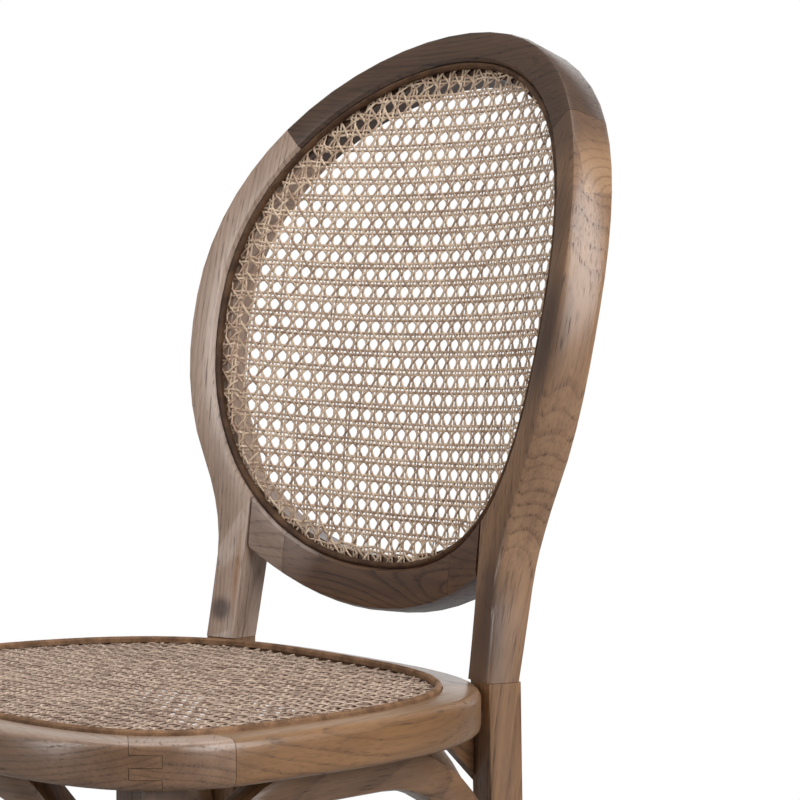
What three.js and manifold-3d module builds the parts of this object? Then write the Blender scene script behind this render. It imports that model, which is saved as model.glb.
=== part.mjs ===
// Round-backed cane dining chair.
// Millimetres, +Z up, +Y towards the back of the chair, X across it.
// The seat and the back are built from the middle of the back panel, and the last lines
// move the whole chair so that its footprint is centred on the origin and it stands on Z = 0.

import * as THREE from 'three';
import { mergeVertices } from 'three/addons/utils/BufferGeometryUtils.js';
import Module from 'manifold-3d';

const wasm = await Module();
wasm.setup();

// Directions and fits
const degree = Math.PI / 180;
const halfTurn = Math.PI;
const fullTurn = 2 * Math.PI;
const fit = 0.3; // gap left between pieces that touch
const overrun = 20; // how far a cutter or a raw end runs past what it trims

// Seat frame
const seatHeight = 465;
const seatThickness = 30;
const seatHalfWidth = 236;
const seatRearReach = 256; // from the widest line of the seat to its rear edge
const seatFrontReach = 129; // from the widest line of the seat to its front edge
const seatRearPower = 3;
const seatFrontPower = 3;
const seatWidestBehind = 296; // how far the widest line lies in front of the back panel's middle
const seatEdgeRound = 6;
const seatRailWidth = 72;
const seatCaneInset = 23; // from the outer edge to the edge of the cane recess
const seatRecessDepth = 3.6;
const fingerLength = 20;
const fingerCount = 4;
const frontJointInset = 36; // where the joints of the seat frame cross the ring, from its side
const frontJointSetback = 52; // and from its front edge
const frontJointTurn = -33 * degree;
const sideJointAhead = 34;
const rearJointInset = 79;
const rearJointBehind = 208; // behind the widest line, beside the rear legs
const rearJointTurn = 50 * degree;

// Back frame, measured along its curved face from the middle of the panel
const backRise = 254.6; // panel middle above the seat top
const backTilt = 12.8 * degree;
const backAcrossRadius = 615;
const backUprightRadius = 1210;
const backSweepStart = -150;
const backSweepRadius = 2000;
const openingRadius = 184;
const openingLowerPower = 2.33;
const caneSeatWidth = 9; // ledge that the cane panel lies on
const frameFaceWidth = 25;
const frameFrontDepth = 7; // frame face in front of the middle of the cane
const frameRearDepth = 26;
const postFootRearDepth = 20;
const frameEdgeRound = 5;
const crestJointAngle = 40 * degree;
const postOuter = 167;
const postSplay = 3; // how much wider apart the posts stand at the seat
const postWidth = 31;
const postShoulderAngle = 34 * degree; // below the panel middle, where the round side runs into the post
const postShoulderTail = 35; // straightening length below the shoulder
const postLedge = 0.5; // what is left of the ledge below the lower rail
const lowerRailDrop = 224; // underside of the lower rail below the panel middle
const lowerRailRadius = 300;
const lowerWingJoint = 98;

// Cane and the splines that hold it
const caneThickness = 2;
const caneFit = 0.6; // gap between the cane or its spline and the wall of the recess
const caneOpeningsAcross = 12; // square openings across a panel, in a plain grid in place of the fine weave
const caneBarWidth = 9; // what is left between two openings
const splineWidth = 4.7;
const splineRise = 4.4;
const splineRound = 1.4;

// Legs
const frontLegInset = 47; // from the side of the seat to the middle of the leg
const frontLegSetback = 65; // from the front of the seat to the middle of the leg
const frontLegWidth = 34;
const frontFootWidth = 25;
const frontFootSplayOut = 10;
const frontFootSplayAhead = 14;
const frontTenonDiameter = 22;
const frontTenonLength = 19;
const legEdgeRound = 4.5;
const rearFootWidth = 27;
const rearFootDepth = 25;
const rearKneeDrop = 150; // height below the seat top where the rear leg starts to sweep back
const rearFootSweep = 62;
const rearFootSplayOut = 14;
const glideHeight = 4;
const glideDiameter = 18;

// Bent arches under the seat
const archThickness = 28; // measured in the plane of the arch
const archWidth = 24;
const archEdgeRound = 5;
const archScribe = 3; // how much of each end is trimmed away to fit its leg
const sideArchFlat = 30; // half the straight length at the top of an arch
const sideArchOut = 14; // how far the rear end stands outside the middle of its leg
const sideArchFoot = 42; // straight length at each end, below the bend
const frontArchFlat = 0;
const frontArchFoot = 30;
const rearArchFlat = 0;
const rearArchFoot = 32;
const rearBraceLength = 38;
const rearBraceHeight = 45;
const rearBraceThickness = 8;
const rearBraceLap = 8; // how far the raw brace runs into the leg that it is cut to fit

// Fasteners and dowels
const screwHeadDiameter = 9;
const screwHeadHeight = 3;
const screwShankDiameter = 4.5;
const screwGrip = 16; // how far a screw goes into the piece that it holds
const dowelDiameter = 8;
const dowelLength = 34;
const postDowelDiameter = 10;
const postDowelLength = 32;
const boltHeadDiameter = 13;
const boltHeadHeight = 4;
const boltDiameter = 6;
const boltLength = 58;
const boltBelowSeatTop = 24;

// How finely the curves are stepped
const archSteps = 22;
const legSteps = 9;
const crestSteps = 16;
const postRingSteps = 13;
const postShoulderSteps = 5;
const postShaftSteps = 6;
const railSteps = 10;
const wingSteps = 3;
const outlineSteps = 64;
const cornerSteps = 2;
const seatEdgeSteps = 3;
const boltSides = 10;
const dowelSides = 10;
const glideSides = 14;
const tenonSides = 16;

// Sizes that follow from the ones above
const recessRadius = openingRadius + caneSeatWidth;
const outerRadius = recessRadius + frameFaceWidth;
const postInner = postOuter - postWidth;
const postMiddle = (postOuter + postInner) / 2 + postSplay;
const postTurn = postMiddle / backAcrossRadius;
const frameMiddleDepth = (frameFrontDepth - frameRearDepth) / 2;
const legMiddleDepth = (frameFrontDepth - postFootRearDepth) / 2;
const legDepth = frameFrontDepth + postFootRearDepth;
const panelHeight = seatHeight + backRise;
const seatUnderside = seatHeight - seatThickness;
const seatMiddleY = -seatWidestBehind;
const frontLegSpread = seatHalfWidth - frontLegInset;
const frontLegAhead = seatWidestBehind + seatFrontReach - frontLegSetback;

// Finishes
const oak = new THREE.MeshStandardMaterial({ color: 0x8a6b4e, roughness: 0.45, metalness: 0 });
const caneFinish = new THREE.MeshStandardMaterial({ color: 0xc7a682, roughness: 0.6, metalness: 0 });
const splineFinish = new THREE.MeshStandardMaterial({ color: 0x8c6c4c, roughness: 0.5, metalness: 0 });
const beech = new THREE.MeshStandardMaterial({ color: 0xd2b48c, roughness: 0.7, metalness: 0 });
const steel = new THREE.MeshStandardMaterial({ color: 0x8f8f8c, roughness: 0.35, metalness: 0.9 });
const nylon = new THREE.MeshStandardMaterial({ color: 0x2a2724, roughness: 0.7, metalness: 0 });

const up = new THREE.Vector3(0, 0, 1);
const chair = new THREE.Group();

// Meshes and solids

function addMesh(name, geometry, finish) {
  const mesh = new THREE.Mesh(geometry, finish.clone());
  mesh.name = name;
  chair.add(mesh);
}

function plainGeometry(positions, indices) {
  const geometry = new THREE.BufferGeometry();
  geometry.setAttribute('position', new THREE.Float32BufferAttribute(positions, 3));
  geometry.setIndex(indices);
  return geometry;
}

function toSolid(geometry) {
  const bare = geometry.clone();
  bare.deleteAttribute('normal');
  bare.deleteAttribute('uv');
  const merged = mergeVertices(bare);
  const mesh = new wasm.Mesh({
    numProp: 3,
    vertProperties: new Float32Array(merged.attributes.position.array),
    triVerts: new Uint32Array(merged.index.array),
  });
  return new wasm.Manifold(mesh);
}

function toGeometry(solid) {
  const mesh = solid.getMesh();
  return plainGeometry(Array.from(mesh.vertProperties), Array.from(mesh.triVerts));
}

function boxSolid(low, high) {
  const size = high.clone().sub(low);
  const box = new THREE.BoxGeometry(size.x, size.y, size.z);
  box.translate((low.x + high.x) / 2, (low.y + high.y) / 2, (low.z + high.z) / 2);
  return toSolid(box);
}

// A closed skin over a row of equal rings of points, with flat ends or joined end to end
function loft(rings, joined) {
  const positions = rings.flatMap((ring) => ring.flatMap((point) => [point.x, point.y, point.z]));
  const indices = [];
  const around = rings[0].length;
  const spans = joined ? rings.length : rings.length - 1;
  for (let i = 0; i < spans; i++) {
    const next = (i + 1) % rings.length;
    for (let j = 0; j < around; j++) {
      const k = (j + 1) % around;
      const [a, b, c, d] = [i * around + j, i * around + k, next * around + k, next * around + j];
      indices.push(a, b, c, a, c, d);
    }
  }
  if (!joined) {
    capRing(rings[0], 0, true, indices);
    capRing(rings[rings.length - 1], (rings.length - 1) * around, false, indices);
  }
  return facingOut(plainGeometry(positions, indices));
}

// Closes one end of a loft, after laying its ring flat to find the triangles
function capRing(ring, first, reversed, indices) {
  const middle = ring.reduce((sum, point) => sum.add(point), new THREE.Vector3()).divideScalar(ring.length);
  const normal = new THREE.Vector3();
  ring.forEach((point, i) => {
    const next = ring[(i + 1) % ring.length];
    normal.add(point.clone().sub(middle).cross(next.clone().sub(middle)));
  });
  normal.normalize();
  const right = ring[0].clone().sub(middle).projectOnPlane(normal).normalize();
  const over = normal.clone().cross(right);
  const flat = ring.map((point) => {
    const arm = point.clone().sub(middle);
    return new THREE.Vector2(arm.dot(right), arm.dot(over));
  });
  THREE.ShapeUtils.triangulateShape(flat, []).forEach(([a, b, c]) => {
    if (reversed) indices.push(first + a, first + c, first + b);
    else indices.push(first + a, first + b, first + c);
  });
}

// Turns a closed skin the right way out
function facingOut(geometry) {
  const point = geometry.attributes.position;
  const index = geometry.index.array;
  const [a, b, c] = [new THREE.Vector3(), new THREE.Vector3(), new THREE.Vector3()];
  let volume = 0;
  for (let i = 0; i < index.length; i += 3) {
    a.fromBufferAttribute(point, index[i]);
    b.fromBufferAttribute(point, index[i + 1]);
    c.fromBufferAttribute(point, index[i + 2]);
    volume += a.dot(b.cross(c));
  }
  if (volume < 0) {
    for (let i = 0; i < index.length; i += 3) {
      [index[i + 1], index[i + 2]] = [index[i + 2], index[i + 1]];
    }
  }
  return geometry;
}

// A turned piece from a profile of radius and height, standing at a place along a direction
function turned(profile, sides, place, direction) {
  const points = profile.map(([radius, height]) => new THREE.Vector2(radius, height));
  const geometry = new THREE.LatheGeometry(points, sides);
  const turn = new THREE.Quaternion();
  turn.setFromUnitVectors(new THREE.Vector3(0, 1, 0), direction.clone().normalize());
  geometry.applyQuaternion(turn);
  geometry.translate(place.x, place.y, place.z);
  geometry.deleteAttribute('normal');
  geometry.deleteAttribute('uv');
  return facingOut(mergeVertices(dropSlivers(geometry)));
}

// Leaves out the triangles that a turned profile folds flat on its axis
function dropSlivers(geometry) {
  const merged = mergeVertices(geometry);
  const kept = [];
  for (let i = 0; i < merged.index.count; i += 3) {
    const [a, b, c] = [0, 1, 2].map((k) => merged.index.array[i + k]);
    if (a !== b && b !== c && a !== c) kept.push(a, b, c);
  }
  merged.setIndex(kept);
  return merged;
}

function rod(diameter, length, sides, middle, direction) {
  const half = length / 2;
  const radius = diameter / 2;
  return turned([[0, -half], [radius, -half], [radius, half], [0, half]], sides, middle, direction);
}

// A screw with its head at the place and its shank along the direction
function screw(headDiameter, headHeight, shankDiameter, shankLength, place, direction) {
  const profile = [
    [0, -headHeight],
    [headDiameter / 2, -headHeight],
    [headDiameter / 2, 0],
    [shankDiameter / 2, 0],
    [shankDiameter / 2, shankLength],
    [0, shankLength],
  ];
  return turned(profile, boltSides, place, direction);
}

// The hole that a screw and its head need
function screwHole(headDiameter, shankDiameter, shankLength, place, direction) {
  const profile = [
    [0, -overrun],
    [headDiameter / 2 + fit, -overrun],
    [headDiameter / 2 + fit, fit],
    [shankDiameter / 2 + fit, fit],
    [shankDiameter / 2 + fit, shankLength + fit],
    [0, shankLength + fit],
  ];
  return toSolid(turned(profile, boltSides, place, direction));
}

// Outlines

// A closed oval whose two ends have their own reach and squareness
function oval(halfWidth, upReach, downReach, upPower, downPower, count) {
  return Array.from({ length: count }, (_, i) => {
    const angle = (i / count) * fullTurn;
    const [across, along] = [Math.cos(angle), Math.sin(angle)];
    const [reach, power] = along > 0 ? [upReach, upPower] : [downReach, downPower];
    return new THREE.Vector2(
      halfWidth * Math.sign(across) * Math.abs(across) ** (2 / power),
      reach * Math.sign(along) * Math.abs(along) ** (2 / power),
    );
  });
}

function seatOutline(inset) {
  return oval(
    seatHalfWidth - inset,
    seatRearReach - inset,
    seatFrontReach - inset,
    seatRearPower,
    seatFrontPower,
    outlineSteps,
  ).map((point) => new THREE.Vector2(point.x, point.y + seatMiddleY));
}

function roundOpening(radius) {
  return oval(radius, radius, radius, 2, openingLowerPower, outlineSteps);
}

// Height of the lower edge of the round opening at a distance from the middle
function openingDrop(radius, across) {
  return -radius * (1 - Math.abs(across / radius) ** openingLowerPower) ** (1 / openingLowerPower);
}

// The point of the round opening that lies in a given direction
function openingPoint(radius, angle) {
  const [across, along] = [Math.cos(angle), Math.sin(angle)];
  if (along >= 0) return new THREE.Vector2(across * radius, along * radius);
  const power = openingLowerPower;
  const reach = radius / (Math.abs(across) ** power + Math.abs(along) ** power) ** (1 / power);
  return new THREE.Vector2(across * reach, along * reach);
}

// A ring of points round a rectangle with rounded corners
function roundedSection(width, depth, radius) {
  const corners = [[1, 1], [-1, 1], [-1, -1], [1, -1]];
  return corners.flatMap(([right, front], i) =>
    Array.from({ length: cornerSteps + 1 }, (_, j) => {
      const angle = (i + j / cornerSteps) * (halfTurn / 2);
      return new THREE.Vector2(
        right * (width / 2 - radius) + radius * Math.cos(angle),
        front * (depth / 2 - radius) + radius * Math.sin(angle),
      );
    }),
  );
}

// The curved face of the back

// Side view of the back's middle line: its place and lean at a distance along it
function backProfile(along) {
  const leanAtStart = backTilt + backSweepStart / backUprightRadius;
  if (along >= backSweepStart) {
    const lean = backTilt + along / backUprightRadius;
    return {
      y: backUprightRadius * (Math.cos(backTilt) - Math.cos(lean)),
      z: backUprightRadius * (Math.sin(lean) - Math.sin(backTilt)),
      lean,
    };
  }
  const start = backProfile(backSweepStart);
  const lean = leanAtStart + (backSweepStart - along) / backSweepRadius;
  return {
    y: start.y - backSweepRadius * (Math.cos(leanAtStart) - Math.cos(lean)),
    z: start.z - backSweepRadius * (Math.sin(lean) - Math.sin(leanAtStart)),
    lean,
  };
}

// Places a point given across the back, along it and in front of the cane
function onBack(across, along, ahead) {
  const { y, z, lean } = backProfile(along);
  const turn = across / backAcrossRadius;
  const bow = backAcrossRadius * (1 - Math.cos(turn));
  const normal = new THREE.Vector3(
    -Math.sin(turn) * Math.cos(backTilt - lean),
    -Math.cos(turn) * Math.cos(lean),
    Math.cos(turn) * Math.sin(lean),
  ).normalize();
  return new THREE.Vector3(
    backAcrossRadius * Math.sin(turn),
    y - bow * Math.cos(backTilt),
    z + bow * Math.sin(backTilt) + panelHeight,
  ).addScaledVector(normal, ahead);
}

// Back frame pieces

// Depth of the frame behind the middle of the cane, which tapers off down the posts
function rearDepth(along) {
  const share = Math.max(0, (backSweepStart - along) / (backSweepStart + backRise));
  return frameRearDepth + share * (postFootRearDepth - frameRearDepth);
}

// Section of a frame bar between its outer edge and the edge of the cane recess,
// with the ledge that the cane lies on. Each point is an inset and a height over the cane.
function frameRing(outer, inner, ledge) {
  const width = outer.distanceTo(inner);
  const inward = inner.clone().sub(outer).divideScalar(width);
  const lip = frameEdgeRound / 2;
  const ledgeTop = -caneThickness / 2 - fit;
  const back = -rearDepth(outer.y);
  const points = [
    [0, frameFrontDepth - frameEdgeRound],
    [frameEdgeRound * (1 - Math.SQRT1_2), frameFrontDepth - frameEdgeRound * (1 - Math.SQRT1_2)],
    [frameEdgeRound, frameFrontDepth],
    [width - lip, frameFrontDepth],
    [width, frameFrontDepth - lip],
    [width, ledgeTop],
    [width + ledge, ledgeTop],
    [width + ledge, lip + back],
    [width + ledge - lip, back],
    [frameEdgeRound, back],
    [frameEdgeRound * (1 - Math.SQRT1_2), frameEdgeRound * (1 - Math.SQRT1_2) + back],
    [0, frameEdgeRound + back],
  ];
  return points.map(([inset, ahead]) => {
    const flat = outer.clone().addScaledVector(inward, inset);
    return onBack(flat.x, flat.y, ahead);
  });
}

function crestRail() {
  const gapAngle = fit / outerRadius;
  const start = crestJointAngle + gapAngle;
  const sweep = halfTurn - 2 * start;
  const rings = Array.from({ length: crestSteps + 1 }, (_, i) => {
    const angle = start + (i / crestSteps) * sweep;
    return frameRing(openingPoint(outerRadius, angle), openingPoint(recessRadius, angle), caneSeatWidth);
  });
  return loft(rings, false);
}

// The shoulder where the round side of the frame straightens into the post
function shoulderCurve() {
  const start = openingPoint(outerRadius, -postShoulderAngle);
  const before = openingPoint(outerRadius, -postShoulderAngle + degree);
  const slope = start.clone().sub(before);
  const bend = start.clone().addScaledVector(slope, (postOuter - start.x) / slope.x);
  const end = new THREE.Vector2(postOuter, bend.y - postShoulderTail);
  return new THREE.QuadraticBezierCurve(start, bend, end);
}

// A post: the side of the round frame, the shoulder, then the shaft down to the seat
function backPost(side) {
  const curve = shoulderCurve();
  const end = curve.v2.y;
  const innerEnd = openingDrop(recessRadius, postInner);
  const innerAngle = Math.atan2(-innerEnd, postInner);
  const bottom = -backRise - overrun;
  const pairs = [];
  for (let i = 0; i <= postRingSteps; i++) {
    const angle = crestJointAngle - (i / postRingSteps) * (crestJointAngle + postShoulderAngle);
    pairs.push([openingPoint(outerRadius, angle), openingPoint(recessRadius, angle), caneSeatWidth]);
  }
  for (let i = 1; i <= postShoulderSteps; i++) {
    const share = i / postShoulderSteps;
    const angle = -postShoulderAngle - share * (innerAngle - postShoulderAngle);
    const ledge = caneSeatWidth + share * (postLedge - caneSeatWidth);
    pairs.push([curve.getPoint(share), openingPoint(recessRadius, angle), ledge]);
  }
  for (let i = 1; i <= postShaftSteps; i++) {
    const share = i / postShaftSteps;
    const splay = share * postSplay;
    const outer = new THREE.Vector2(postOuter + splay, end + share * (bottom - end));
    const inner = new THREE.Vector2(postInner + splay, innerEnd + share * (bottom - innerEnd));
    pairs.push([outer, inner, postLedge]);
  }
  const mirror = new THREE.Vector2(side, 1);
  const rings = pairs.map(([outer, inner, ledge]) =>
    frameRing(outer.clone().multiply(mirror), inner.clone().multiply(mirror), ledge),
  );
  const trim = boxSolid(
    new THREE.Vector3(-2 * postOuter, -backRise, 0),
    new THREE.Vector3(2 * postOuter, backRise, seatHeight + fit),
  );
  return toSolid(loft(rings, false)).subtract(trim);
}

// A length of the lower rail between two distances across the back
function lowerRailPiece(from, to, steps) {
  const rings = Array.from({ length: steps + 1 }, (_, i) => {
    const across = from + (i / steps) * (to - from);
    const drop = -lowerRailDrop + lowerRailRadius - Math.sqrt(lowerRailRadius ** 2 - across ** 2);
    const outer = new THREE.Vector2(across, drop);
    const inner = new THREE.Vector2(across, openingDrop(recessRadius, across));
    return frameRing(outer, inner, caneSeatWidth);
  });
  return loft(rings, false);
}

function frameDowel(across, along, direction, extra) {
  const place = onBack(across, along, frameMiddleDepth);
  const ahead = onBack(across + direction.x, along + direction.y, frameMiddleDepth).sub(place);
  return rod(dowelDiameter + 2 * extra, dowelLength + 2 * extra, dowelSides, place, ahead);
}

// Places and directions of the two kinds of dowel in the back frame, for one side
function crestDowelPlace(side) {
  const middle = (outerRadius + recessRadius) / 2;
  const turn = new THREE.Vector2(-Math.sin(crestJointAngle) * side, Math.cos(crestJointAngle));
  return [side * middle * Math.cos(crestJointAngle), middle * Math.sin(crestJointAngle), turn];
}

function railDowelPlace(side) {
  const top = openingDrop(recessRadius, postInner);
  const low = -lowerRailDrop + lowerRailRadius - Math.sqrt(lowerRailRadius ** 2 - postInner ** 2);
  return [side * postInner, (top + low) / 2, new THREE.Vector2(side, 0)];
}

// A thin flat panel with a grid of square openings, cut off where the spline covers it. Its rim is
// a band of small faces, so that the rim of a panel that is bent afterwards stays clear of its ledge.
function canePanel(outline, low) {
  const [edge, cover, ledge, rim] = [
    caneFit, splineWidth, caneSeatWidth, caneSeatWidth + caneFit,
  ].map((inset) => outline(inset));
  const room = new THREE.Box2().setFromPoints(cover);
  const middle = room.getCenter(new THREE.Vector2());
  const pitch = (room.max.x - room.min.x + caneBarWidth) / caneOpeningsAcross;
  const half = (pitch - caneBarWidth) / 2;
  const high = low + caneThickness;
  const shown = extruded(cover, low - overrun, high + overrun, 0);
  const least = caneBarWidth ** 2 * (caneThickness + 2 * overrun); // smaller slivers stay closed
  const band = loft(edge.map((point, i) => [
    new THREE.Vector3(point.x, point.y, low),
    new THREE.Vector3(point.x, point.y, high),
    new THREE.Vector3(rim[i].x, rim[i].y, high),
    new THREE.Vector3(rim[i].x, rim[i].y, low),
  ]), true);
  let panel = toSolid(band).add(extruded(ledge, low, high, 0));
  for (let i = -caneOpeningsAcross; i < caneOpeningsAcross; i++) {
    for (let j = -caneOpeningsAcross; j < caneOpeningsAcross; j++) {
      const [x, y] = [middle.x + (i + 1 / 2) * pitch, middle.y + (j + 1 / 2) * pitch];
      const opening = boxSolid(
        new THREE.Vector3(x - half, y - half, low - overrun),
        new THREE.Vector3(x + half, y + half, high + overrun),
      ).intersect(shown);
      if (opening.volume() > least) panel = panel.subtract(opening);
    }
  }
  return toGeometry(panel);
}

// The cane panel of the back, bent to follow its curved face
function backCane() {
  const geometry = canePanel((inset) => roundOpening(recessRadius - inset), -caneThickness / 2);
  const point = geometry.attributes.position;
  for (let i = 0; i < point.count; i++) {
    point.setXYZ(i, ...onBack(point.getX(i), point.getY(i), point.getZ(i)).toArray());
  }
  return facingOut(geometry);
}

// Section of a spline bead from the wall of its recess inwards, and up from the cane
function splineSection() {
  return [
    [caneFit, 0],
    [caneFit, splineRise - splineRound],
    [caneFit + splineRound, splineRise],
    [splineWidth - splineRound, splineRise],
    [splineWidth, splineRise - splineRound],
    [splineWidth, 0],
  ];
}

function backSpline() {
  const base = caneThickness / 2 + fit;
  const rings = Array.from({ length: outlineSteps }, (_, i) => {
    const angle = (i / outlineSteps) * fullTurn;
    return splineSection().map(([inset, rise]) => {
      const point = openingPoint(recessRadius - inset, angle);
      return onBack(point.x, point.y, base + rise);
    });
  });
  return loft(rings, true);
}

// Seat pieces

function extruded(outline, low, high, edgeRound) {
  const shape = new THREE.Shape(outline);
  const geometry = new THREE.ExtrudeGeometry(shape, {
    depth: high - low - 2 * edgeRound,
    bevelEnabled: edgeRound > 0,
    bevelSize: edgeRound,
    bevelThickness: edgeRound,
    bevelOffset: -edgeRound,
    bevelSegments: seatEdgeSteps,
  });
  geometry.translate(0, 0, low + edgeRound);
  return toSolid(geometry);
}

function seatRing() {
  const ring = extruded(seatOutline(0), seatUnderside, seatHeight, seatEdgeRound);
  const well = extruded(
    seatOutline(seatRailWidth), seatUnderside - overrun, seatHeight + overrun, 0,
  );
  const recess = extruded(
    seatOutline(seatCaneInset), seatHeight - seatRecessDepth, seatHeight + overrun, 0,
  );
  return ring.subtract(well).subtract(recess);
}

// The space behind a joint of the seat frame. A joint with fingers reaches further
// forward in every other layer, and the gap is left all round each finger.
function beyondJoint(side, joint, gap) {
  const layer = seatThickness / fingerCount;
  const reach = 2 * seatHalfWidth;
  const along = new THREE.Vector3(-side * Math.sin(joint.turn), Math.cos(joint.turn), 0);
  const turn = new THREE.Matrix4().makeBasis(new THREE.Vector3(along.y, -along.x, 0), along, up);
  turn.setPosition(side * joint.out, seatMiddleY + joint.behind, 0);
  const block = (start, low, high) => {
    const box = new THREE.BoxGeometry(2 * reach, reach, high - low);
    box.translate(0, reach / 2 + start + gap, (low + high) / 2);
    box.applyMatrix4(turn);
    return toSolid(box);
  };
  let space = block(joint.fingers ? fingerLength / 2 : 0, seatUnderside - overrun, seatHeight + overrun);
  for (let i = 1; joint.fingers && i < fingerCount; i += 2) {
    const high = i === fingerCount - 1 ? seatHeight + overrun : seatUnderside + (i + 1) * layer - gap;
    space = space.add(block(-fingerLength / 2, seatUnderside + i * layer + gap, high));
  }
  return space;
}

function seatCane() {
  return canePanel((inset) => seatOutline(seatCaneInset + inset), seatHeight - seatRecessDepth + fit);
}

function seatSpline() {
  const base = seatHeight - seatRecessDepth + caneThickness + 2 * fit;
  const sections = splineSection().map(([inset, rise]) => ({
    outline: seatOutline(seatCaneInset + inset),
    height: base + rise,
  }));
  const rings = Array.from({ length: outlineSteps }, (_, i) =>
    sections.map(({ outline, height }) => new THREE.Vector3(outline[i].x, outline[i].y, height)),
  );
  return loft(rings, true);
}

// Legs

// A leg as level sections down a path, each turned about the upright by the same angle
function legLoft(sections, turn) {
  const [across, behind] = [
    new THREE.Vector3(Math.cos(turn), -Math.sin(turn), 0),
    new THREE.Vector3(Math.sin(turn), Math.cos(turn), 0),
  ];
  return loft(sections.map(({ place, width, depth }) =>
    roundedSection(width, depth, legEdgeRound).map((corner) =>
      place.clone().addScaledVector(across, corner.x).addScaledVector(behind, corner.y),
    ),
  ), false);
}

function frontLegBody(side, grow) {
  const sections = [0, 1].map((share) => {
    const width = frontLegWidth + share * (frontFootWidth - frontLegWidth) + 2 * grow;
    return { place: frontLegPlace(side, share), width, depth: width };
  });
  return toSolid(legLoft(sections, 0));
}

function frontLeg(side) {
  const tenonMiddle = frontLegPlace(side, 0);
  tenonMiddle.z += (frontTenonLength - overrun) / 2;
  const tenon = rod(frontTenonDiameter, frontTenonLength + overrun, tenonSides, tenonMiddle, up);
  return frontLegBody(side, 0).add(toSolid(tenon));
}

// Middle of a front leg, from 0 under the seat to 1 at the glide
function frontLegPlace(side, share) {
  return new THREE.Vector3(
    side * (frontLegSpread + share * frontFootSplayOut),
    -frontLegAhead - share * frontFootSplayAhead,
    seatUnderside - fit + share * (glideHeight + 2 * fit - seatUnderside),
  );
}

function frontTenonHole(side) {
  const middle = frontLegPlace(side, 0);
  middle.z = seatUnderside + (frontTenonLength + fit - overrun) / 2;
  const length = frontTenonLength + fit + overrun;
  return toSolid(rod(frontTenonDiameter + 2 * fit, length, tenonSides, middle, up));
}

// Middle of a rear leg at a height, in line with the back post above the knee
function rearLegPlace(side, height) {
  const top = onBack(side * postMiddle, -backRise, legMiddleDepth);
  const knee = seatHeight - rearKneeDrop;
  const low = glideHeight + fit;
  const sweep = height < knee ? ((knee - height) / (knee - low)) ** 2 : 0;
  const splay = (seatHeight - height) / (seatHeight - low);
  return new THREE.Vector3(
    top.x + side * splay * rearFootSplayOut,
    top.y + sweep * rearFootSweep,
    height,
  );
}

function rearLeg(side, grow) {
  const low = glideHeight + fit;
  const high = seatHeight;
  const sections = Array.from({ length: legSteps + 1 }, (_, i) => {
    const share = i / legSteps;
    return {
      place: rearLegPlace(side, high + share * (low - high)),
      width: postWidth + share * (rearFootWidth - postWidth) + 2 * grow,
      depth: legDepth + share * (rearFootDepth - legDepth) + 2 * grow,
    };
  });
  return toSolid(legLoft(sections, side * postTurn));
}

function glide(place) {
  const radius = glideDiameter / 2;
  const profile = [[0, 0], [radius - glideHeight / 2, 0], [radius, glideHeight / 2], [radius, glideHeight],
    [0, glideHeight]];
  const stand = new THREE.Vector3(place.x, place.y, 0);
  return turned(profile, glideSides, stand, up);
}

// Arches

// A bent bar between two places: two upright feet, two round shoulders and a straight top.
// Each station is a place on its middle line and the way its outer face looks.
function archStations(halfSpan, flat, foot) {
  const radius = halfSpan - flat - archThickness / 2;
  const half = Array.from({ length: archSteps / 2 + 1 }, (_, i) => {
    const angle = (i / archSteps) * halfTurn;
    return [flat + radius * Math.cos(angle), radius * Math.sin(angle), angle];
  });
  const right = [[flat + radius, -foot, 0], ...half];
  const left = right.map(([along, rise, angle]) => [-along, rise, halfTurn - angle]).reverse();
  return [...right, ...left.slice(flat > 0 ? 0 : 1)];
}

function arch(from, to, flat, foot, top) {
  const middle = from.clone().add(to).divideScalar(2);
  const along = to.clone().sub(from).normalize();
  const square = new THREE.Vector3(-along.y, along.x, 0);
  const halfSpan = from.distanceTo(to) / 2;
  const spring = top - (halfSpan - flat);
  const rings = archStations(halfSpan, flat, foot).map(([run, rise, angle]) =>
    roundedSection(archThickness, archWidth, archEdgeRound).map((corner) =>
      middle.clone()
        .addScaledVector(along, run + corner.x * Math.cos(angle))
        .addScaledVector(square, corner.y)
        .addScaledVector(up, spring + rise + corner.x * Math.sin(angle)),
    ),
  );
  return toSolid(loft(rings, false));
}

// Triangular brace between the underside of the seat and the front of a rear leg
function rearBrace(side) {
  const leg = rearLegPlace(side, seatUnderside);
  const face = leg.clone().add(legOffset(side, -postWidth / 2, -legDepth / 2));
  const outerX = face.x + side * rearBraceThickness / 2;
  const top = seatUnderside - fit;
  const shape = new THREE.Shape([
    new THREE.Vector2(face.y + rearBraceLap, top),
    new THREE.Vector2(face.y - rearBraceLength, top),
    new THREE.Vector2(face.y + rearBraceLap, top - rearBraceHeight),
  ]);
  const plate = new THREE.ExtrudeGeometry(shape, { depth: rearBraceThickness, bevelEnabled: false });
  const turn = new THREE.Matrix4().makeBasis(
    new THREE.Vector3(0, 1, 0), new THREE.Vector3(0, 0, 1), new THREE.Vector3(1, 0, 0),
  );
  plate.applyMatrix4(turn);
  plate.translate(outerX - rearBraceThickness / 2, 0, 0);
  return toSolid(plate).subtract(rearLeg(side, fit));
}

// An offset from the middle of a rear leg, across its width and along its depth
function legOffset(side, across, behind) {
  const turn = side * postTurn;
  return new THREE.Vector3(
    side * across * Math.cos(turn) + behind * Math.sin(turn),
    -side * across * Math.sin(turn) + behind * Math.cos(turn),
    0,
  );
}

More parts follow.
